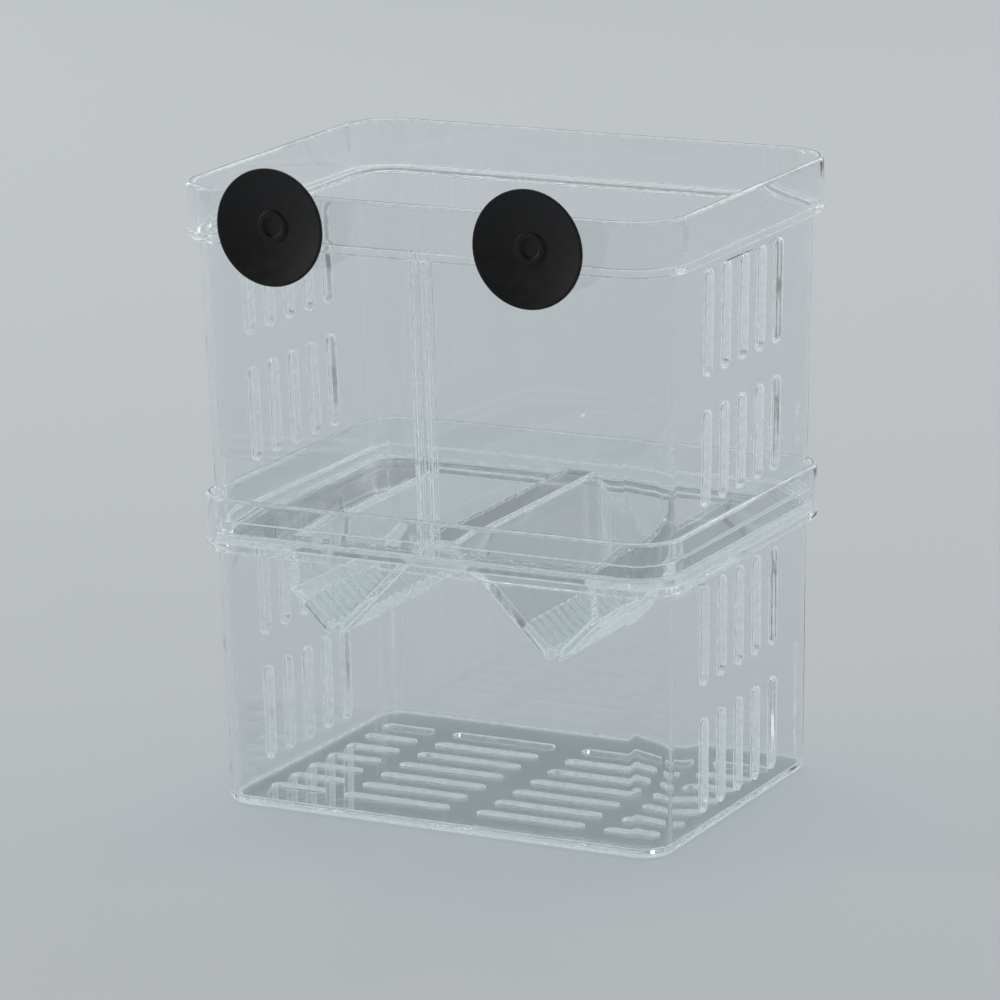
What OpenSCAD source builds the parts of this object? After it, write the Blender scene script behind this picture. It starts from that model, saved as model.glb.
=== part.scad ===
// Two-tier fish breeding box, clear plastic, hung on the tank glass by two suction cups.
// The lower tier stands on z = 0 with its centre on the Z axis. The front is at -Y.
// A drop-through separator lies on the ledge inside the lower tier's collar, and the
// bottomless upper tier nests in the same collar and rests on the separator's flange.

/* [Footprint] */
// Outer width of the lower tier just above its foot radius
base_w = 127; // [100:1:170]
// Outer depth of the lower tier just above its foot radius
base_d = 93.5; // [74:0.5:140]
// Outer corner radius at the foot
base_r = 8; // [5:0.5:16]

/* [Walls] */
// Thickness of every wall
wall = 2; // [1.4:0.1:2.6]
// Thickness of the slotted floor
floor_t = 2; // [1.4:0.1:4]
// Outer radius where the floor turns up into the wall
foot_r = 1.8; // [0.6:0.1:2]
// Outward lean of the lower tier's walls, in degrees
lower_draft = 1.03; // [0.5:0.05:2]
// Outward lean of the upper tier's walls, in degrees
upper_draft = 1.65; // [0.5:0.05:2.5]

/* [Tiers] */
// Height of the lower tier's body, from the base to the underside of its collar
lower_body_h = 68.5; // [56:0.5:110]
// Height of the upper tier's body, from its foot ring to the underside of its collar
upper_body_h = 77; // [64:0.5:120]
// Height of each collar
collar_h = 14.4; // [12.4:0.1:24]
// How far each collar steps out from the wall below it
collar_step = 2.85; // [2.4:0.05:5]
// Outer radius under the collar's step
collar_edge_r = 1; // [0.4:0.1:1.4]
// Gap between the upper tier and the collar that it nests in, at the collar's rim
nest_gap = 0.5; // [0.3:0.05:1]
// Play between pieces that rest on each other
seat_gap = 0.1; // [0.05:0.05:0.3]
// Height of the ring that stiffens the upper tier's open bottom
foot_ring_h = 3.3; // [2:0.1:6]
// How far that ring stands inwards from the wall
foot_ring_in = 1.6; // [1:0.1:3]

/* [Side slots] */
// Slots in each row, front to back
slots_per_row = 5; // [3:1:7]
// Distance between slots, centre to centre
slot_pitch = 10.4; // [8:0.1:11]
// Width of a slot
slot_w = 4; // [2:0.1:5]
// Height of the lower tier's lower row above the base
lower_slot_sill = 6; // [4:0.5:12]
// Height of the upper tier's lower row above the rim of the collar round it
upper_slot_sill = 3.3; // [2:0.1:10]
// Length of a slot in the lower row
low_slot_l = 24.5; // [12:0.5:30]
// Bar between the two rows
slot_row_bar = 9; // [5:0.5:15]
// Plain wall left between the upper row and the underside of the collar
slot_head = 3; // [2:0.5:8]

/* [Floor slots] */
// Rows of slots, front to back
floor_rows = 7; // [3:1:8]
// Width of a floor slot
floor_slot_w = 3.6; // [2:0.1:5]
// Plain floor in front of the first row and behind the last
floor_end_strip = 14.35; // [8:0.05:18]
// Plain floor outside the two outer columns
floor_side_strip = 7.5; // [5:0.5:12]
// Length of a slot in the two outer columns
floor_short_l = 15; // [8:0.5:18]
// Width of the plain strip down the middle
floor_mid_bar = 9; // [5:0.5:12]
// Width of the plain strips between the middle and the outer columns
floor_side_bar = 6.5; // [4:0.5:8]

/* [Divider guides] */
// Gap between the two guide ribs on the front wall
guide_gap = 2.2; // [1.5:0.1:4]
// Thickness of a guide rib
guide_t = 1.5; // [1.2:0.1:3]
// How far a guide rib stands in from the wall
guide_in = 2.6; // [1.5:0.1:4]

/* [Separator] */
// Thickness of the separator's sheet
sheet = 2; // [1.2:0.1:2.6]
// Width of the flat flange between the trough and the lower tier's side wall
side_bay = 18.7; // [12:0.1:22]
// Clearance between each end of the trough and the divider guides
end_gap = 3.4; // [1:0.1:8]
// Slope of the trough's sides, in degrees from level
slope = 45; // [40:1:50]
// Level run from each valley out to the trough's upright side
outer_run = 12.5; // [10:0.5:14]
// Width of the crest between the two valleys
crest_w = 8.8; // [4:0.1:12]
// Height of the crest above the flange's top
crest_rise = 2.9; // [1:0.1:5]
// Width of the long slit down each valley
valley_slit_w = 3; // [2:0.1:3.6]
// Width of a short slit across a slope
slit_w = 1.5; // [1:0.1:2.5]
// Distance between short slits, centre to centre
slit_pitch = 4; // [3:0.1:8]
// Plain sheet left at both ends of a short slit
slit_margin = 1.8; // [1.2:0.1:2.4]

/* [Suction cups] */
// Distance between the cups, centre to centre
cup_spacing = 72; // [60:1:84]
// Outer diameter of a cup
cup_d = 30; // [24:0.5:36]
// How far a cup's lip stands off the collar
cup_h = 7; // [6:0.5:12]
// Thickness of a cup's lip
cup_lip_t = 0.6; // [0.4:0.1:1.2]
// Depth of the hollow in a cup's face
cup_sag = 2; // [1:0.1:2.4]
// Thickness of a cup between its shoulder and its hollow
cup_web = 1.4; // [1:0.1:1.6]
// Diameter of the shoulder that bears on the collar
shoulder_d = 12; // [10:0.1:12.4]
// Diameter of the neck
neck_d = 6; // [4:0.1:7]
// Clearance round the neck in its hole
neck_gap = 0.08; // [0.03:0.01:0.1]
// Diameter of the button that keeps the neck in its hole
button_d = 9; // [8.6:0.1:11]
// Height of the button
button_h = 2.4; // [1.6:0.1:3.2]
// Height of the button's straight edge
button_edge_h = 1.1; // [0.4:0.1:1.4]
// How much smaller the button's tip is than the neck
button_tip_less = 1.6; // [0.6:0.1:2.4]
// Outer diameter of the ring in the middle of a cup's face
ring_d = 8; // [6:0.5:10]
// Inner diameter of that ring
ring_bore = 5; // [3:0.5:5.5]
// Height of that ring
ring_h = 0.5; // [0.3:0.1:0.8]

/* [Hidden] */
$fn = 96;
hollow_fn = 360;
// How far solids run into each other, and how far cutters run past a face
lap = 0.5;
// Corner centres shared by both tiers and the separator
cx = base_w / 2 - base_r;
cy = base_d / 2 - base_r;
// Lower tier: every r is a distance outwards from the corner centres
lower_top_r = base_r + lean(lower_body_h - foot_r, lower_draft);
lower_collar_r = lower_top_r + collar_step;
lower_h = lower_body_h + collar_h;
ledge_z = lower_body_h + wall;
floor_pitch = (base_d - 2 * floor_end_strip - floor_slot_w) / (floor_rows - 1);
floor_long_x = floor_mid_bar / 2;
floor_long_l = base_w / 2 - floor_side_strip - floor_short_l - floor_side_bar - floor_long_x;
floor_short_x = floor_long_x + floor_long_l + floor_side_bar;
// Separator flange and upper tier
flange_z = ledge_z + seat_gap;
flange_top_z = flange_z + sheet;
flange_r = lower_collar_r - wall - nest_gap;
upper_z = flange_top_z + seat_gap;
upper_foot_r = flange_r - lean(lower_h - upper_z, upper_draft);
upper_top_r = upper_foot_r + lean(upper_body_h, upper_draft);
upper_collar_z = upper_z + upper_body_h;
upper_collar_r = upper_top_r + collar_step;
guide_r = upper_foot_r - wall - guide_in;
// Separator trough
trough_x = cx + lower_top_r - wall - side_bay;
trough_y = cy + guide_r - end_gap;
sheet_v = sheet / cos(slope);
valley_x = trough_x - outer_run;
crest_z = flange_top_z + crest_rise;
crest_under_z = crest_z - sheet;
valley_z = crest_z - sheet_v - (valley_x - crest_w / 2) * tan(slope);
knee_z = valley_z + outer_run * tan(slope);
slit_start = valley_slit_w / 2 / cos(slope) + slit_margin;
slit_l = (outer_run - sheet) / cos(slope) - slit_start - slit_margin;
slit_count = floor((2 * (trough_y - sheet - slit_margin) - slit_w) / slit_pitch);
// Suction cups
cup_z = upper_collar_z + collar_h / 2;
cup_y = -(cy + upper_collar_r);
cup_r = cup_d / 2;
shoulder_r = shoulder_d / 2;
hole_d = neck_d + 2 * neck_gap;
face_r = cup_r - cup_lip_t;
hollow_r = (face_r * face_r + cup_sag * cup_sag) / (2 * cup_sag);
shoulder_h = cup_h - cup_sag - cup_web;

// Outward lean of a wall at height h
function lean(h, draft) = h * tan(draft);

// Sweeps a section once round the rounded rectangle. The section's X is the distance
// outwards from the corner centres, and its Y is the height.
module around() {
  for (side = [0:3]) {
    along = side % 2 == 0 ? cx : cy;
    out = side % 2 == 0 ? cy : cx;
    rotate(90 * side) {
      translate([-along, -out, 0])
        rotate([90, 0, 90])
          linear_extrude(2 * along)
            mirror([1, 0]) children();
      translate([along, -out, 0])
        rotate(-90)
          rotate_extrude(angle = 90) children();
    }
  }
}

// Rectangle that fills the middle of a rounded rectangle of corner radius r
module middle(r) {
  square([2 * cx + r, 2 * cy + r], center = true);
}

// Slot outline with round ends, standing on y = 0
module slot(w, l) {
  translate([-w / 2, w / 2]) square([w, l - w]);
  for (y = [w / 2, l - w / 2])
    translate([0, y]) circle(w / 2);
}

// Section of a drafted wall that leans out from r at z0 up to the height z1
module wall_section(r, z0, z1, draft) {
  out = lean(z1 - z0, draft);
  polygon([[r - wall, z0], [r, z0], [r + out, z1], [r + out - wall, z1]]);
}

// Section of a collar on a wall whose outside is at r_top: ledge, upright and round rim
module collar_section(r_top, z) {
  r_out = r_top + collar_step;
  translate([r_top - wall / 2, z]) square([collar_step + wall / 2 - collar_edge_r, wall]);
  translate([r_out - collar_edge_r, z + collar_edge_r]) circle(collar_edge_r);
  translate([r_out - wall, z + collar_edge_r]) square([wall, collar_h - collar_edge_r - wall / 2]);
  translate([r_out - wall / 2, z + collar_h - wall / 2]) circle(wall / 2);
}

// Section of the lower tier's foot: the floor's edge and the radius up into the wall
module foot_section() {
  intersection() {
    translate([base_r - foot_r, foot_r]) circle(foot_r);
    translate([base_r - foot_r, 0]) square(foot_r);
  }
  square([base_r - foot_r, floor_t]);
  translate([base_r - foot_r - lap, foot_r / 2])
    square([foot_r + lap - wall / 2, floor_t - foot_r / 2]);
  translate([base_r - wall, foot_r]) square([wall, lap]);
}

// Both rows of slots, cut through the left and right walls in one pass
module side_slots(sill_z, collar_z) {
  upper_sill_z = sill_z + low_slot_l + slot_row_bar;
  upper_slot_l = collar_z - slot_head - upper_sill_z;
  half_w = cx + upper_collar_r + lap;
  for (i = [0:slots_per_row - 1], row = [0, 1])
    translate([-half_w, (i - (slots_per_row - 1) / 2) * slot_pitch, row == 0 ? sill_z : upper_sill_z])
      rotate([90, 0, 90])
        linear_extrude(2 * half_w)
          slot(slot_w, row == 0 ? low_slot_l : upper_slot_l);
}

// Openings of the floor: two long columns in the middle, a short one at each side
module floor_openings() {
  for (i = [0:floor_rows - 1], side = [-1, 1])
    translate([0, (i - (floor_rows - 1) / 2) * floor_pitch]) {
      translate([side * floor_long_x, 0]) rotate(-90 * side) slot(floor_slot_w, floor_long_l);
      translate([side * floor_short_x, 0]) rotate(-90 * side) slot(floor_slot_w, floor_short_l);
    }
}

module lower_tier() {
  color("lightcyan", 0.4)
    difference() {
      union() {
        around() {
          foot_section();
          wall_section(base_r, foot_r, ledge_z, lower_draft);
          collar_section(lower_top_r, lower_body_h);
        }
        linear_extrude(floor_t) middle(base_r - foot_r);
      }
      translate([0, 0, -lap])
        linear_extrude(floor_t + 2 * lap) floor_openings();
      side_slots(lower_slot_sill, lower_body_h);
    }
}

// Half of the separator's W section, to the right of the middle
module trough_half() {
  polygon([
    [0, crest_under_z],
    [valley_x - (crest_under_z - valley_z) / tan(slope), crest_under_z],
    [valley_x, valley_z],
    [trough_x, knee_z],
    [trough_x, flange_top_z],
    [trough_x - sheet, flange_top_z],
    [trough_x - sheet, knee_z + sheet_v - sheet * tan(slope)],
    [valley_x, valley_z + sheet_v],
    [crest_w / 2, crest_z],
    [0, crest_z]
  ]);
}

// Half of the plate that closes each end of the trough, level with the flange
module trough_end_half() {
  polygon([
    [0, crest_under_z],
    [valley_x - (crest_under_z - valley_z) / tan(slope), crest_under_z],
    [valley_x, valley_z],
    [trough_x, knee_z],
    [trough_x, flange_top_z],
    [crest_w / 2 + crest_rise / tan(slope), flange_top_z],
    [crest_w / 2, crest_z],
    [0, crest_z]
  ]);
}

// Row of short slits across one slope beside a valley; dir is -1 inwards, 1 outwards
module slope_slits(dir) {
  for (i = [0:slit_count])
    translate([valley_x, (i - slit_count / 2) * slit_pitch, valley_z])
      rotate([0, dir > 0 ? -slope : slope - 180, 0])
        translate([slit_start, -slit_w / 2, -sheet - lap])
          cube([slit_l, slit_w, 2 * (sheet + lap)]);
}

module fry_separator() {
  color("azure", 0.4)
    difference() {
      union() {
        difference() {
          union() {
            around()
              translate([0, flange_z]) square([flange_r, sheet]);
            translate([0, 0, flange_z])
              linear_extrude(sheet) middle(flange_r);
          }
          translate([0, 0, flange_z - lap])
            linear_extrude(sheet + 2 * lap)
              square([2 * trough_x - sheet, 2 * trough_y - sheet], center = true);
        }
        for (half = [0, 1])
          mirror([half, 0, 0]) {
            translate([0, trough_y, 0])
              rotate([90, 0, 0])
                linear_extrude(2 * trough_y) trough_half();
            for (y = [sheet - trough_y, trough_y])
              translate([0, y, 0])
                rotate([90, 0, 0])
                  linear_extrude(sheet) trough_end_half();
          }
      }
      for (half = [0, 1])
        mirror([half, 0, 0]) {
          translate([valley_x - valley_slit_w / 2, -trough_y - lap, valley_z - lap])
            cube([valley_slit_w, 2 * (trough_y + lap), sheet_v + valley_slit_w / 2 * tan(slope) + 2 * lap]);
          slope_slits(-1);
          slope_slits(1);
        }
    }
}

// One guide rib on the front wall, parallel to the wall's lean
module guide_rib() {
  rib_top_z = upper_collar_z + wall;
  out = lean(rib_top_z - upper_z, upper_draft);
  r_in = guide_r;
  r_out = upper_foot_r - wall / 2;
  translate([-guide_t / 2, -cy, 0])
    rotate([90, 0, 90])
      linear_extrude(guide_t)
        mirror([1, 0])
          polygon([[r_in, upper_z], [r_out, upper_z], [r_out + out, rib_top_z], [r_in + out, rib_top_z]]);
}

module upper_tier() {
  color("lightcyan", 0.4)
    difference() {
      union() {
        around() {
          wall_section(upper_foot_r, upper_z, upper_collar_z + wall, upper_draft);
          translate([upper_foot_r - wall - foot_ring_in, upper_z])
            square([foot_ring_in + wall / 2, foot_ring_h]);
          collar_section(upper_top_r, upper_collar_z);
        }
        for (sx = [-1, 1])
          translate([sx * (guide_gap + guide_t) / 2, 0, 0]) guide_rib();
      }
      side_slots(lower_h + upper_slot_sill, upper_collar_z);
      for (sx = [-1, 1])
        translate([sx * cup_spacing / 2, cup_y - lap, cup_z])
          rotate([-90, 0, 0]) cylinder(d = hole_d, h = wall + 2 * lap);
    }
}

// Section of a suction cup: X is the radius, Y the distance out from the collar's face
module cup_section() {
  neck_in = wall + seat_gap;
  // Disc with its hollow face
  difference() {
    polygon([
      [0, shoulder_h / 2],
      [shoulder_r, shoulder_h / 2],
      [cup_r, cup_h - cup_lip_t],
      [cup_r, cup_h],
      [0, cup_h]
    ]);
    translate([0, cup_h - cup_sag + hollow_r]) circle(hollow_r, $fn = hollow_fn);
  }
  // Shoulder, neck and button
  translate([0, seat_gap]) square([shoulder_r, shoulder_h - seat_gap]);
  translate([0, -neck_in - lap]) square([neck_d / 2, neck_in + 2 * lap]);
  translate([0, -neck_in - button_h])
    polygon([
      [0, 0],
      [(neck_d - button_tip_less) / 2, 0],
      [button_d / 2, button_h - button_edge_h],
      [button_d / 2, button_h],
      [0, button_h]
    ]);
  // Ring in the middle of the face
  translate([ring_bore / 2, cup_h - cup_sag - ring_h])
    square([(ring_d - ring_bore) / 2, 2 * ring_h]);
}

module suction_cup(side) {
  color("black")
    translate([side * cup_spacing / 2, cup_y, cup_z])
      rotate([90, 0, 0])
        rotate_extrude() cup_section();
}

lower_tier();
fry_separator();
upper_tier();
suction_cup(-1);  // left_suction_cup
suction_cup(1);  // right_suction_cup
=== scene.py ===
"""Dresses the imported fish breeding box: clear moulded tiers, trough separator, rubber cups."""

import logging
import math
from dataclasses import dataclass, field
from enum import Enum

import bmesh
import bpy
from mathutils import Matrix, Vector


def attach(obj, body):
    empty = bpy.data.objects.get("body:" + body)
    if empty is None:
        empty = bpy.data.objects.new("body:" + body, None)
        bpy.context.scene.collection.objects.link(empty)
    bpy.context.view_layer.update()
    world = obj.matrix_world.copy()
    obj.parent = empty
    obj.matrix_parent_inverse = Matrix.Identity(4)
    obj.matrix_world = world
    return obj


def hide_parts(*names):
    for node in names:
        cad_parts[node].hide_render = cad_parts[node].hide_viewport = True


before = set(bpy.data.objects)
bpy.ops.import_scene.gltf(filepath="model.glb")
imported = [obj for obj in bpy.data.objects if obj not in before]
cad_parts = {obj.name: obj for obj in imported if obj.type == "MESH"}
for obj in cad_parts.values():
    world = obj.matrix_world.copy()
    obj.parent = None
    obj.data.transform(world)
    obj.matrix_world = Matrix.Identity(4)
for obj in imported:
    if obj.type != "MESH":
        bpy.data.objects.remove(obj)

MM = 0.001
BOUNCES = 40
TRANSPARENT_BOUNCES = 48
GLOSSY_BOUNCES = 24
log = logging.getLogger("breeding_box")


class Slot(Enum):
    """The record's material slots."""

    CLEAR = "clear_plastic"
    RUBBER = "black_rubber"


class Side(Enum):
    """Which of the two suction cups a piece is."""

    LEFT = -1
    RIGHT = 1


@dataclass(frozen=True)
class Pattern:
    """A noise in Object coordinates, and the band of it that shows.

    Attributes:
        scale: Noise scale, in cells per metre.
        detail: Number of octaves.
        harshness: How strong the fine octaves are.
        band: The noise's values at which the pattern starts and is full.
        stretch: Factor along X, Y and Z before the noise.
    """

    scale: float
    detail: float
    harshness: float
    band: tuple[float, float] = (0.0, 1.0)
    stretch: tuple[float, float, float] = (1.0, 1.0, 1.0)


class ShaderSheet:
    """A material's node tree, with short calls that add and join nodes."""

    def __init__(self, name: str) -> None:
        """Starts an empty material.

        Args:
            name: The material's name.
        """
        self.material = bpy.data.materials.new(name)
        self.material.use_nodes = True
        self.tree = self.material.node_tree
        self.tree.nodes.clear()
        self.output = self.add("ShaderNodeOutputMaterial")
        self.place = self.add("ShaderNodeTexCoord").outputs["Object"]

    def add(self, kind: str, **settings: object) -> bpy.types.Node:
        """Adds a node.

        Args:
            kind: The node's type name.
            **settings: Values for the node's own properties.

        Returns:
            The new node.
        """
        node = self.tree.nodes.new(kind)
        for key, value in settings.items():
            setattr(node, key, value)
        return node

    def join(self, source: bpy.types.NodeSocket, target: bpy.types.NodeSocket) -> None:
        """Joins an output to an input.

        Args:
            source: The output.
            target: The input.
        """
        self.tree.links.new(source, target)

    def stretched(self, scale: tuple[float, float, float]) -> bpy.types.NodeSocket:
        """Object coordinates stretched along the axes.

        Args:
            scale: Factor along X, Y and Z.

        Returns:
            The vector output.
        """
        node = self.add("ShaderNodeMapping")
        self.join(self.place, node.inputs["Vector"])
        node.inputs["Scale"].default_value = scale
        return node.outputs["Vector"]

    def noise(self, pattern: Pattern) -> bpy.types.NodeSocket:
        """The whole noise of a pattern.

        Args:
            pattern: The pattern.

        Returns:
            The noise's factor output.
        """
        node = self.add("ShaderNodeTexNoise")
        self.join(self.stretched(pattern.stretch), node.inputs["Vector"])
        node.inputs["Scale"].default_value = pattern.scale
        node.inputs["Detail"].default_value = pattern.detail
        node.inputs["Roughness"].default_value = pattern.harshness
        return node.outputs["Fac"]

    def band(self, pattern: Pattern) -> bpy.types.NodeSocket:
        """A pattern's noise inside its band, from 0 to 1.

        Args:
            pattern: The pattern.

        Returns:
            The eased value.
        """
        return self.ramp(self.noise(pattern), *pattern.band)

    def ramp(
        self,
        value: bpy.types.NodeSocket,
        low: float,
        high: float,
        to_low: float = 0.0,
        to_high: float = 1.0,
        smooth: bool = True,
    ) -> bpy.types.NodeSocket:
        """Maps a range of a value onto another range, clamped.

        Args:
            value: The value to map.
            low: Start of the range.
            high: End of the range.
            to_low: Result at the start.
            to_high: Result at the end.
            smooth: Whether the step eases in and out.

        Returns:
            The mapped value.
        """
        easing = "SMOOTHSTEP" if smooth else "LINEAR"
        node = self.add("ShaderNodeMapRange", interpolation_type=easing)
        self.join(value, node.inputs["Value"])
        for name, number in (
            ("From Min", low), ("From Max", high), ("To Min", to_low), ("To Max", to_high)
        ):
            node.inputs[name].default_value = number
        return node.outputs["Result"]

    def maths(
        self,
        operation: str,
        first: bpy.types.NodeSocket,
        second: bpy.types.NodeSocket,
    ) -> bpy.types.NodeSocket:
        """One Math node.

        Args:
            operation: The Math node's operation.
            first: The first value.
            second: The second value.

        Returns:
            The result.
        """
        node = self.add("ShaderNodeMath", operation=operation)
        self.join(first, node.inputs[0])
        self.join(second, node.inputs[1])
        return node.outputs["Value"]

    def bump(self, height: bpy.types.NodeSocket, distance: float) -> bpy.types.NodeSocket:
        """A bump from a height.

        Args:
            height: The height, from 0 to 1.
            distance: What a height of 1 stands for, in metres.

        Returns:
            The normal.
        """
        node = self.add("ShaderNodeBump")
        self.join(height, node.inputs["Height"])
        node.inputs["Distance"].default_value = distance
        node.inputs["Strength"].default_value = 1.0
        return node.outputs["Normal"]

    def blend_colours(
        self,
        factor: bpy.types.NodeSocket,
        first: tuple[float, float, float],
        second: tuple[float, float, float],
    ) -> bpy.types.NodeSocket:
        """Mixes two plain colours.

        Args:
            factor: 0 for the first colour, 1 for the second.
            first: The first colour.
            second: The second colour.

        Returns:
            The mixed colour.
        """
        node = self.add("ShaderNodeMix", data_type="RGBA")
        self.join(factor, node.inputs["Factor"])
        for socket in (s for s in node.inputs if s.type == "RGBA"):
            socket.default_value = (*(first if socket.name == "A" else second), 1.0)
        return next(s for s in node.outputs if s.type == "RGBA")

    def close_with_light_shadow(
        self, surface: bpy.types.NodeSocket, colour: tuple[float, float, float]
    ) -> None:
        """Ends the tree in a surface that lets light straight through to what it shades.

        Args:
            surface: The shader that is seen.
            colour: The colour that each wall gives that light.
        """
        shade = self.add("ShaderNodeBsdfTransparent")
        shade.inputs["Color"].default_value = (*colour, 1.0)
        pick = self.add("ShaderNodeMixShader")
        path = self.add("ShaderNodeLightPath").outputs
        straight = self.maths("MAXIMUM", path["Is Shadow Ray"], path["Is Diffuse Ray"])
        self.join(straight, pick.inputs["Fac"])
        self.join(surface, pick.inputs[1])
        self.join(shade.outputs["BSDF"], pick.inputs[2])
        self.join(pick.outputs["Shader"], self.output.inputs["Surface"])


@dataclass(frozen=True)
class ClearPlastic:
    """Clear moulded plastic: a thin film and fine rubs on a glossy, very slightly wavy face."""

    name: str = "clear_moulded_plastic"
    face_colour: tuple[float, float, float] = (0.945, 0.965, 0.97)
    ior: float = 1.56
    gloss_roughness: float = 0.02
    worn_roughness: float = 0.13
    film: Pattern = Pattern(42.0, 4.0, 0.62, (0.52, 0.78))
    rubs: Pattern = Pattern(90.0, 3.0, 0.7, (0.60, 0.74), (9.0, 9.0, 0.6))
    waves: Pattern = Pattern(55.0, 1.5, 0.4)
    wave_height: float = 0.02 * MM
    shadow_colour: tuple[float, float, float] = (0.955, 0.97, 0.97)

    def make(self) -> bpy.types.Material:
        """Builds the material.

        Returns:
            The finished material.
        """
        s = ShaderSheet(self.name)
        wear = s.maths("MAXIMUM", s.band(self.film), s.band(self.rubs))
        body = s.add("ShaderNodeBsdfPrincipled")
        body.inputs["Base Color"].default_value = (*self.face_colour, 1.0)
        body.inputs["Transmission Weight"].default_value = 1.0
        body.inputs["IOR"].default_value = self.ior
        s.join(
            s.ramp(wear, 0.0, 1.0, self.gloss_roughness, self.worn_roughness, False),
            body.inputs["Roughness"],
        )
        s.join(s.bump(s.noise(self.waves), self.wave_height), body.inputs["Normal"])
        s.close_with_light_shadow(body.outputs["BSDF"], self.shadow_colour)
        return s.material


@dataclass(frozen=True)
class HazeAndHighlightPlastic:
    """The same plastic where it is cut through or rounded over; its whitish scatter is partly
    frosting and partly painted highlight along edges and rims.

    Attributes:
        name: The material's name.
        haze: Share of the light that is scattered, from 0 to 1; this whitish scatter is partly
            frosting and partly painted highlight.
        roughness: Lowest and highest roughness of the clear share.
        haze_spread: How far the haze varies either way, as a share of itself.
        haze_band: The grain's values between which the haze varies.
        back_share: Share of the scattered light that is turned back.
    """

    name: str
    haze: float
    roughness: tuple[float, float]
    haze_spread: float = 0.15
    haze_band: tuple[float, float] = (0.3, 0.7)
    back_share: float = 0.5
    face_colour: tuple[float, float, float] = (0.96, 0.982, 0.982)
    haze_highlight_colour: tuple[float, float, float] = (0.95, 0.98, 1.0)
    ior: float = 1.56
    grain: Pattern = Pattern(420.0, 3.0, 0.6, (0.35, 0.65))
    shadow_colour: tuple[float, float, float] = (0.91, 0.94, 0.94)

    def make(self) -> bpy.types.Material:
        """Builds the material.

        Returns:
            The finished material.
        """
        s = ShaderSheet(self.name)
        grain = s.noise(self.grain)
        body = s.add("ShaderNodeBsdfPrincipled")
        body.inputs["Base Color"].default_value = (*self.face_colour, 1.0)
        body.inputs["Transmission Weight"].default_value = 1.0
        body.inputs["IOR"].default_value = self.ior
        s.join(s.ramp(grain, *self.grain.band, *self.roughness), body.inputs["Roughness"])
        # The whitish translucent and diffuse share below is partly frosting and partly painted
        # highlight along edges and rims.
        through = s.add("ShaderNodeBsdfTranslucent")
        through.inputs["Color"].default_value = (*self.haze_highlight_colour, 1.0)
        back = s.add("ShaderNodeBsdfDiffuse")
        back.inputs["Color"].default_value = (*self.haze_highlight_colour, 1.0)
        milk_highlight = s.add("ShaderNodeMixShader")
        milk_highlight.inputs["Fac"].default_value = self.back_share
        s.join(through.outputs["BSDF"], milk_highlight.inputs[1])
        s.join(back.outputs["BSDF"], milk_highlight.inputs[2])
        both = s.add("ShaderNodeMixShader")
        least, most = self.haze * (1 - self.haze_spread), self.haze * (1 + self.haze_spread)
        s.join(s.ramp(grain, *self.haze_band, least, most), both.inputs["Fac"])
        s.join(body.outputs["BSDF"], both.inputs[1])
        s.join(milk_highlight.outputs["Shader"], both.inputs[2])
        s.close_with_light_shadow(both.outputs["Shader"], self.shadow_colour)
        return s.material


@dataclass(frozen=True)
class BlackRubber:
    """Soft black rubber, semi-matt, with a dry bloom and a fine grain."""

    name: str = "soft_black_rubber"
    deep_colour: tuple[float, float, float] = (0.0035, 0.0035, 0.0042)
    bloom_colour: tuple[float, float, float] = (0.013, 0.013, 0.0145)
    roughness: tuple[float, float] = (0.5, 0.7)
    specular: float = 0.34
    bloom: Pattern = Pattern(320.0, 5.0, 0.65, (0.42, 0.8))
    grain: Pattern = Pattern(5200.0, 2.0, 0.6)
    grain_height: float = 0.02 * MM

    def make(self) -> bpy.types.Material:
        """Builds the material.

        Returns:
            The finished material.
        """
        s = ShaderSheet(self.name)
        bloom = s.band(self.bloom)
        colour = s.blend_colours(bloom, self.deep_colour, self.bloom_colour)
        body = s.add("ShaderNodeBsdfPrincipled")
        s.join(colour, body.inputs["Base Color"])
        s.join(s.ramp(bloom, 0.0, 1.0, *self.roughness, False), body.inputs["Roughness"])
        body.inputs["Specular IOR Level"].default_value = self.specular
        s.join(s.bump(s.noise(self.grain), self.grain_height), body.inputs["Normal"])
        s.join(body.outputs["BSDF"], s.output.inputs["Surface"])
        return s.material


@dataclass(frozen=True)
class StudioPaper:
    """The plain pale sheet the object stands on."""

    name: str = "studio_paper"
    colour: tuple[float, float, float] = (0.48, 0.505, 0.525)
    roughness: float = 0.9
    specular: float = 0.1

    def make(self) -> bpy.types.Material:
        """Builds the material.

        Returns:
            The finished material.
        """
        s = ShaderSheet(self.name)
        body = s.add("ShaderNodeBsdfPrincipled")
        body.inputs["Base Color"].default_value = (*self.colour, 1.0)
        body.inputs["Roughness"].default_value = self.roughness
        body.inputs["Specular IOR Level"].default_value = self.specular
        s.join(body.outputs["BSDF"], s.output.inputs["Surface"])
        return s.material


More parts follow.
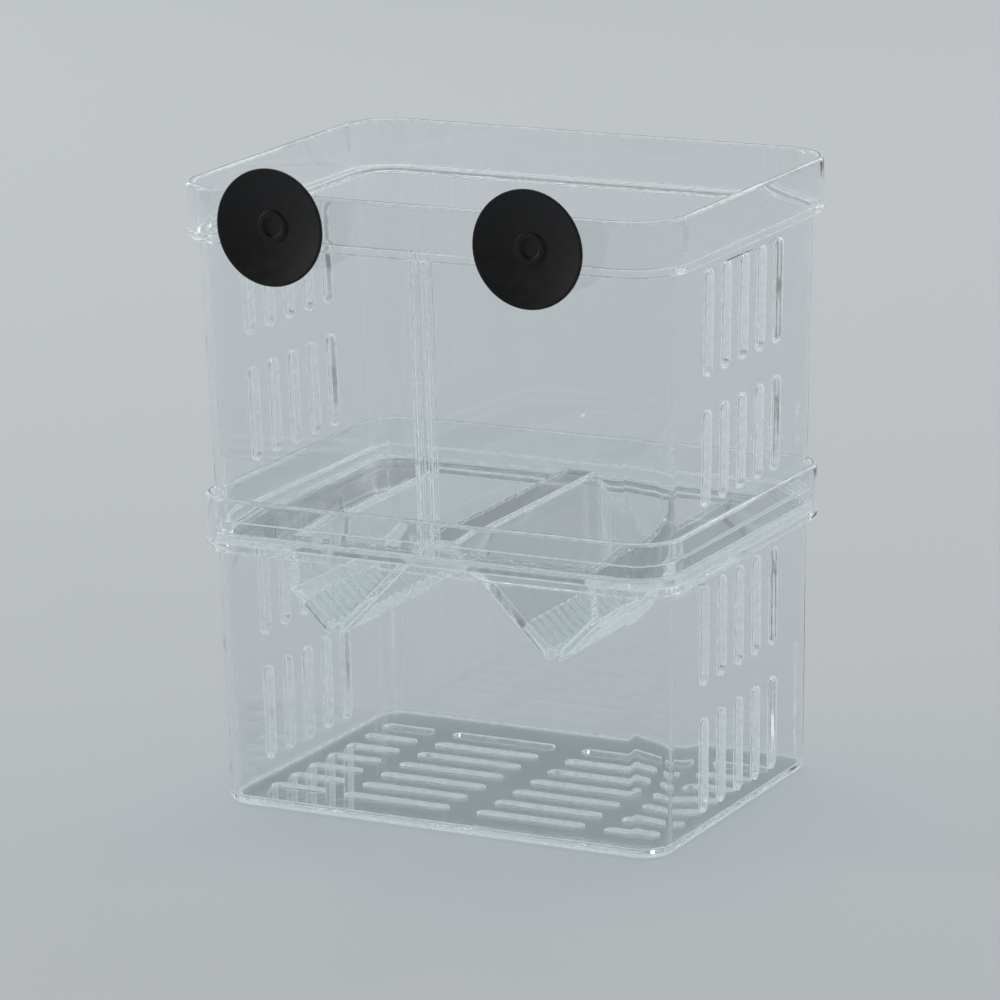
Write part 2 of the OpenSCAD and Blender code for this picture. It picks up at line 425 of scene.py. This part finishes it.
@dataclass
class MouldedShell:
    """One clear moulding: its CAD form with every edge softened.

    Attributes:
        node: The CAD node, which is also the body that it rides on.
        finishes: Materials of the faces, the cut faces and rims, and the softened edges; the
            last two carry painted highlight in their whitish haze.
        strip: Widest strip that counts as a cut face.
        tallest_cut: Greatest height of a cut face.
        round_area: Largest facet of a rounded rim.
        rim_slope: Least and greatest upward part of a rounded rim's normal.
        edge_radius: Width of the softened edges.
        edge_segments: Facets across a softened edge.
        sharp_angle: Least angle of an edge that is softened, in degrees.
        flat_angle: Angle under which CAD triangles are joined into one face, in degrees.
        weld: Distance within which CAD vertices are one.
        piece: The finished piece, once it is made.
    """

    node: str
    finishes: tuple[bpy.types.Material, bpy.types.Material, bpy.types.Material]
    strip: float = 3.0 * MM
    tallest_cut: float = 45.0 * MM
    round_area: float = 60.0 * MM * MM
    rim_slope: tuple[float, float] = (0.2, 0.98)
    edge_radius: float = 0.3 * MM
    edge_segments: int = 2
    sharp_angle: float = 30.0
    flat_angle: float = 0.2
    weld: float = 0.001 * MM
    piece: bpy.types.Object | None = field(default=None, init=False)

    def shape(self) -> bpy.types.Object:
        """Merges a copy of the CAD mesh and rounds its edges.

        Returns:
            The piece, in place.
        """
        mesh = bpy.data.meshes.new(f"{self.node}_moulding")
        bm = bmesh.new()
        bm.from_mesh(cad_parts[self.node].data)
        bmesh.ops.remove_doubles(bm, verts=bm.verts, dist=self.weld)
        bmesh.ops.dissolve_limit(
            bm,
            angle_limit=math.radians(self.flat_angle),
            verts=bm.verts,
            edges=bm.edges,
            use_dissolve_boundaries=False,
        )
        for face in bm.faces:
            face.smooth = True
            # Cut faces and rounded rims take the second material, whose whitish haze is partly
            # frosting and partly painted highlight.
            face.material_index = int(self.is_cut(face) or self.is_round(face))
        bm.to_mesh(mesh)
        bm.free()
        if "custom_normal" in mesh.attributes:
            mesh.attributes.remove(mesh.attributes["custom_normal"])
        piece = bpy.data.objects.new(f"{self.node}_moulding", mesh)
        bpy.context.scene.collection.objects.link(piece)
        rounding = piece.modifiers.new("rounding", "BEVEL")
        rounding.width = self.edge_radius
        rounding.segments = self.edge_segments
        rounding.limit_method = "ANGLE"
        rounding.angle_limit = math.radians(self.sharp_angle)
        rounding.use_clamp_overlap = False
        rounding.harden_normals = True
        # The softened edges take the third material, whose strong whitish haze is partly
        # frosting and partly painted highlight.
        rounding.material = 2
        return piece

    def is_cut(self, face: bmesh.types.BMFace) -> bool:
        """Whether a face is a narrow strip between sharp edges, such as the side of a slot.

        The tall sides of the guide ribs are moulded, not cut, so they stay clear.

        Args:
            face: The face.

        Returns:
            True for a cut face.
        """
        heights = [vert.co.z for vert in face.verts]
        if max(heights) - min(heights) > self.tallest_cut:
            return False
        limit = math.radians(self.sharp_angle)
        sharp = sum(
            edge.calc_length()
            for edge in face.edges
            if len(edge.link_faces) == 2 and edge.calc_face_angle() > limit
        )
        return sharp > 0 and 2 * face.calc_area() / sharp < self.strip

    def is_round(self, face: bmesh.types.BMFace) -> bool:
        """Whether a face is part of the rounding along a level edge, such as a rim.

        Args:
            face: The face.

        Returns:
            True for a face of the rounding.
        """
        least, most = self.rim_slope
        return least < abs(face.normal.z) < most and face.calc_area() < self.round_area

    def dress(self) -> bpy.types.Object:
        """Builds the piece, paints it and ties it to its body.

        Returns:
            The finished piece.
        """
        self.piece = self.shape()
        for finish in self.finishes:
            self.piece.data.materials.append(finish)
        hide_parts(self.node)
        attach(self.piece, self.node)
        log.info("%s: %d faces before rounding", self.piece.name, len(self.piece.data.polygons))
        return self.piece


@dataclass
class SuctionCup:
    """One rubber cup, turned from its section by a node tree. Sizes are in millimetres.

    Attributes:
        side: Which cup it is.
        material: Its rubber.
        spacing: Distance between the two cups.
        front: How far in front of the box's middle the collar's face is.
        height: Height of the cup's axis.
        cup_radius: Radius of the cup.
        cup_height: Height of its lip off the collar.
        lip: Thickness of the lip.
        sag: Depth of the hollow face.
        shoulder: Radius and height of the shoulder.
        stand_off: Clearance between the shoulder and the collar.
        neck: Radius of the neck, and how far it reaches behind the collar's face.
        button: Radius, height, height of the edge, and tip radius of the button.
        ring: Inner radius, outer radius and height of the ring in the face.
        hollow_steps: Points along the hollow face.
        facets: Facets round the cup.
        fillet: Radius of the section's fillets.
        fillet_points: Points along a fillet.
        axle: Radius of the circle that the section is turned on.
        weld: Distance within which the turned points are one.
        sharp_angle: Least angle of an edge that stays sharp, in degrees.
    """

    side: Side
    material: bpy.types.Material
    spacing: float = 72.0
    front: float = 53.07
    height: float = 156.9
    cup_radius: float = 15.0
    cup_height: float = 7.0
    lip: float = 0.6
    sag: float = 2.0
    shoulder: tuple[float, float] = (6.0, 1.8)
    stand_off: float = 0.1
    neck: tuple[float, float] = (3.0, 2.1)
    button: tuple[float, float, float, float] = (4.5, 2.4, 1.1, 2.2)
    ring: tuple[float, float, float] = (2.5, 4.0, 0.5)
    hollow_steps: int = 20
    facets: int = 96
    fillet: float = 0.25
    fillet_points: int = 3
    axle: float = 0.01
    weld: float = 0.03
    sharp_angle: float = 40.0

    def hollow(self, radius: float) -> float:
        """Height of the hollow face at a radius.

        Args:
            radius: Distance from the cup's axis, in millimetres.

        Returns:
            Height off the collar, in millimetres.
        """
        rim = self.cup_radius - self.lip
        ball = (rim * rim + self.sag * self.sag) / (2 * self.sag)
        return self.cup_height - self.sag + ball - math.sqrt(ball * ball - radius * radius)

    def section(self) -> list[tuple[float, float]]:
        """Outline of half the cup, from the button's tip to the middle of the face.

        Returns:
            Points of radius and height off the collar, in millimetres.
        """
        neck_r, grip = self.neck
        head_r, head_h, head_edge, tip_r = self.button
        shoulder_r, shoulder_h = self.shoulder
        ring_in, ring_out, ring_h = self.ring
        rim = self.cup_radius - self.lip
        tip = -grip - head_h
        ring_top = self.cup_height - self.sag + ring_h
        points = [(0.0, tip), (tip_r, tip), (head_r, -grip - head_edge), (head_r, -grip)]
        points += [(neck_r, -grip), (neck_r, self.stand_off)]
        points += [(shoulder_r, self.stand_off), (shoulder_r, shoulder_h)]
        points += [(self.cup_radius, self.cup_height - lip) for lip in (self.lip, 0.0)]
        for k in range(self.hollow_steps + 1):
            radius = rim + (ring_out - rim) * k / self.hollow_steps
            points.append((radius, self.hollow(radius)))
        points += [(ring_out, ring_top), (ring_in, ring_top), (ring_in, self.hollow(ring_in))]
        return points + [(r, self.hollow(r)) for r in (ring_in / 2, 0.0)]

    def turning(self) -> bpy.types.NodeTree:
        """Node tree that fillets a section and turns it once round its axis.

        Returns:
            The tree, with inputs Section, Facets, Fillet, Seat and Finish.
        """
        tree = bpy.data.node_groups.new("turned_moulding", "GeometryNodeTree")
        face = tree.interface
        face.new_socket("Section", in_out="INPUT", socket_type="NodeSocketGeometry")
        face.new_socket("Facets", in_out="INPUT", socket_type="NodeSocketInt")
        face.new_socket("Fillet", in_out="INPUT", socket_type="NodeSocketFloat")
        face.new_socket("Seat", in_out="INPUT", socket_type="NodeSocketVector")
        face.new_socket("Finish", in_out="INPUT", socket_type="NodeSocketMaterial")
        face.new_socket("Moulding", in_out="OUTPUT", socket_type="NodeSocketGeometry")
        add, join = tree.nodes.new, tree.links.new
        given, made = add("NodeGroupInput"), add("NodeGroupOutput")
        fillet, circle = add("GeometryNodeFilletCurve"), add("GeometryNodeCurvePrimitiveCircle")
        turn, close = add("GeometryNodeCurveToMesh"), add("GeometryNodeMergeByDistance")
        place, smooth = add("GeometryNodeTransform"), add("GeometryNodeSetShadeSmooth")
        real, paint = add("GeometryNodeRealizeInstances"), add("GeometryNodeSetMaterial")
        fillet.mode = "POLY"
        fillet.inputs["Count"].default_value = self.fillet_points
        fillet.inputs["Limit Radius"].default_value = True
        circle.inputs["Radius"].default_value = self.axle * MM
        close.inputs["Distance"].default_value = self.weld * MM
        place.inputs["Rotation"].default_value = (-math.pi / 2, 0.0, 0.0)
        join(given.outputs["Section"], fillet.inputs["Curve"])
        join(given.outputs["Fillet"], fillet.inputs["Radius"])
        join(given.outputs["Facets"], circle.inputs["Resolution"])
        join(circle.outputs["Curve"], turn.inputs["Curve"])
        join(fillet.outputs["Curve"], turn.inputs["Profile Curve"])
        join(turn.outputs["Mesh"], close.inputs["Geometry"])
        join(close.outputs["Geometry"], place.inputs["Geometry"])
        join(given.outputs["Seat"], place.inputs["Translation"])
        join(place.outputs["Geometry"], smooth.inputs["Geometry"])
        join(smooth.outputs["Geometry"], real.inputs["Geometry"])
        join(real.outputs["Geometry"], paint.inputs["Geometry"])
        join(given.outputs["Finish"], paint.inputs["Material"])
        join(paint.outputs["Geometry"], made.inputs["Moulding"])
        return tree

    def shape(self) -> bpy.types.Object:
        """Turns the cup and makes it a plain mesh.

        Returns:
            The piece, in place.
        """
        name = f"{self.side.name.lower()}_suction_cup"
        outline = bpy.data.curves.new(f"{name}_section", "CURVE")
        outline.dimensions = "3D"
        line = outline.splines.new("POLY")
        points = self.section()
        line.points.add(len(points) - 1)
        for point, (radius, height) in zip(line.points, points):
            point.co = (radius * MM, height * MM, 0.0, 1.0)
        maker = bpy.data.objects.new(f"{name}_section", outline)
        bpy.context.scene.collection.objects.link(maker)
        tree = self.turning()
        items = tree.interface.items_tree
        sockets = {item.name: item.identifier for item in items if item.in_out == "INPUT"}
        turned = maker.modifiers.new("turned", "NODES")
        turned.node_group = tree
        turned[sockets["Facets"]] = self.facets
        turned[sockets["Fillet"]] = self.fillet * MM
        turned[sockets["Seat"]] = [
            self.side.value * self.spacing / 2 * MM, -self.front * MM, self.height * MM
        ]
        turned[sockets["Finish"]] = self.material
        ready = maker.evaluated_get(bpy.context.evaluated_depsgraph_get())
        mesh = bpy.data.meshes.new_from_object(ready)
        bpy.data.objects.remove(maker)
        bm = bmesh.new()
        bm.from_mesh(mesh)
        bmesh.ops.recalc_face_normals(bm, faces=bm.faces)
        bm.to_mesh(mesh)
        bm.free()
        mesh.set_sharp_from_angle(angle=math.radians(self.sharp_angle))
        piece = bpy.data.objects.new(f"{name}_rubber", mesh)
        bpy.context.scene.collection.objects.link(piece)
        return piece

    def dress(self) -> bpy.types.Object:
        """Builds the piece and ties it to its body.

        Returns:
            The finished piece.
        """
        piece = self.shape()
        node = f"{self.side.name.lower()}_suction_cup"
        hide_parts(node)
        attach(piece, node)
        log.info("%s: %d faces", piece.name, len(piece.data.polygons))
        return piece


@dataclass(frozen=True)
class Lamp:
    """A soft rectangular lamp, hidden from the camera.

    Attributes:
        name: Its name.
        at: Where it hangs.
        face: Width and height of its face.
        watts: Its power.
    """

    name: str
    at: tuple[float, float, float]
    face: tuple[float, float]
    watts: float

    def hang(self, aim: tuple[float, float, float]) -> None:
        """Adds the lamp to the scene.

        Args:
            aim: The point that it faces.
        """
        data = bpy.data.lights.new(self.name, "AREA")
        data.shape, data.energy = "RECTANGLE", self.watts
        data.size, data.size_y = self.face
        obj = bpy.data.objects.new(self.name, data)
        obj.location = self.at
        way = Vector(aim) - Vector(self.at)
        obj.rotation_euler = way.to_track_quat("-Z", "Y").to_euler()
        obj.visible_camera = False
        bpy.context.scene.collection.objects.link(obj)


@dataclass
class Studio:
    """Pale floor, soft lamps and the camera.

    Attributes:
        paper: Material of the floor.
        lamps: The lamps.
        aim: The point that the lamps face.
        azimuth: The camera's turn about Z from straight ahead, in degrees.
        elevation: Its height angle, in degrees.
        roll: Its turn about its own axis, in degrees.
        distance: Its distance from the target.
        target: The point in the middle of the view.
        sensor: Width of its sensor, in millimetres.
        focal: Focal length in sensor widths.
        clip: Nearest and farthest distance that it sees.
        floor_radius: Radius of the flat part of the floor.
        floor_rings: Rings of the flat part.
        floor_gap: How far the floor lies under the box.
        cove_radius: Radius of the bend at the floor's edge.
        cove_steps: Facets along the bend.
        cove_facets: Facets round the floor.
        room_colour: Colour of the room's light.
        room_grey: Strength of the room's light.
    """

    paper: bpy.types.Material
    lamps: tuple[Lamp, ...] = (
        Lamp("overhead", (-0.4, 0.7, 2.7), (1.9, 1.9), 50.0),
        Lamp("left_strip", (-1.9, -0.7, 0.9), (0.3, 1.7), 18.0),
        Lamp("right_strip", (1.9, 0.9, 0.9), (0.25, 1.7), 12.0),
        Lamp("right_front_strip", (1.7, -1.3, 0.8), (0.15, 1.5), 7.0),
        Lamp("left_rear_strip", (-1.7, 1.3, 0.8), (0.15, 1.5), 9.0),
        Lamp("right_rear_strip", (0.4, 2.1, 0.8), (0.15, 1.5), 9.0),
    )
    aim: tuple[float, float, float] = (0.0, 0.0, 0.08)
    azimuth: float = 27.5
    elevation: float = 14.28
    roll: float = -1.15
    distance: float = 1.4325
    target: tuple[float, float, float] = (-0.0031, -0.0016, 0.0765)
    sensor: float = 36.0
    focal: float = 5.531
    clip: tuple[float, float] = (0.05, 30.0)
    floor_radius: float = 3.0
    floor_rings: int = 3
    floor_gap: float = 0.2 * MM
    cove_radius: float = 1.0
    cove_steps: int = 10
    cove_facets: int = 64
    room_colour: tuple[float, float, float] = (0.96, 0.98, 1.0)
    room_grey: float = 0.07

    def floor(self) -> None:
        """Lays a round floor and bends it up into a low wall all round."""
        flat, bend = self.floor_rings, self.cove_steps
        profile = [(self.floor_radius * k / flat, 0.0) for k in range(1, flat + 1)]
        for turn in (math.pi / 2 * k / bend for k in range(1, bend + 1)):
            radius = self.floor_radius + self.cove_radius * math.sin(turn)
            profile.append((radius, self.cove_radius * (1 - math.cos(turn))))
        step = 2 * math.pi / self.cove_facets
        around = [(math.cos(step * k), math.sin(step * k)) for k in range(self.cove_facets)]
        bm = bmesh.new()
        rings: list[list[bmesh.types.BMVert]] = []
        for radius, height in profile:
            level = height - self.floor_gap
            rings.append([bm.verts.new((radius * x, radius * y, level)) for x, y in around])
        bm.faces.new(rings[0])
        for low, high in zip(rings, rings[1:]):
            for k in range(self.cove_facets):
                after = (k + 1) % self.cove_facets
                bm.faces.new((low[k], high[k], high[after], low[after]))
        for face in bm.faces:
            face.smooth = True
        mesh = bpy.data.meshes.new("floor")
        bm.to_mesh(mesh)
        bm.free()
        mesh.materials.append(self.paper)
        obj = bpy.data.objects.new("floor", mesh)
        bpy.context.scene.collection.objects.link(obj)

    def light(self) -> None:
        """Hangs the lamps and sets the room's plain light."""
        for lamp in self.lamps:
            lamp.hang(self.aim)
        world = bpy.data.worlds.new("room")
        world.use_nodes = True
        room = world.node_tree.nodes["Background"].inputs
        room["Color"].default_value = (*self.room_colour, 1.0)
        room["Strength"].default_value = self.room_grey
        bpy.context.scene.world = world

    def camera(self) -> None:
        """Sets the camera at its angle, looking at the target."""
        a, e, r = (math.radians(v) for v in (self.azimuth, self.elevation, self.roll))
        back = Vector((math.sin(a) * math.cos(e), -math.cos(a) * math.cos(e), math.sin(e)))
        right = Vector((math.cos(a), math.sin(a), 0.0))
        up = back.cross(right)
        right, up = (
            right * math.cos(r) + up * math.sin(r),
            up * math.cos(r) - right * math.sin(r),
        )
        data = bpy.data.cameras.new("camera")
        data.sensor_width = self.sensor
        data.lens = self.sensor * self.focal
        data.clip_start, data.clip_end = self.clip
        obj = bpy.data.objects.new("camera", data)
        where = Vector(self.target) + back * self.distance
        obj.matrix_world = Matrix(
            (
                (right.x, up.x, back.x, where.x),
                (right.y, up.y, back.y, where.y),
                (right.z, up.z, back.z, where.z),
                (0, 0, 0, 1),
            )
        )
        bpy.context.scene.collection.objects.link(obj)
        bpy.context.scene.camera = obj

    def build(self) -> None:
        """Builds the whole studio."""
        self.floor()
        self.light()
        self.camera()


def main() -> None:
    logging.basicConfig(level=logging.INFO, format="%(name)s: %(message)s")
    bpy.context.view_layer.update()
    scene = bpy.context.scene
    scene.view_settings.view_transform = "Standard"
    scene.cycles.max_bounces = BOUNCES
    scene.cycles.transmission_bounces = BOUNCES
    scene.cycles.transparent_max_bounces = TRANSPARENT_BOUNCES
    scene.cycles.glossy_bounces = GLOSSY_BOUNCES
    # The second and third plastics whiten cut faces, rims and edges: partly frosting, partly
    # painted highlight.
    plastics = (
        ClearPlastic().make(),
        HazeAndHighlightPlastic("clear_plastic_cuts_painted_highlight", 0.5, (0.03, 0.07)).make(),
        HazeAndHighlightPlastic("clear_plastic_edges_painted_highlight", 0.92, (0.05, 0.12)).make(),
    )
    rubber = BlackRubber().make()
    Studio(StudioPaper().make()).build()
    for node in ("lower_tier", "fry_separator", "upper_tier"):
        MouldedShell(node, plastics).dress()
    for side in Side:
        SuctionCup(side, rubber).dress()


if __name__ == "__main__":
    main()
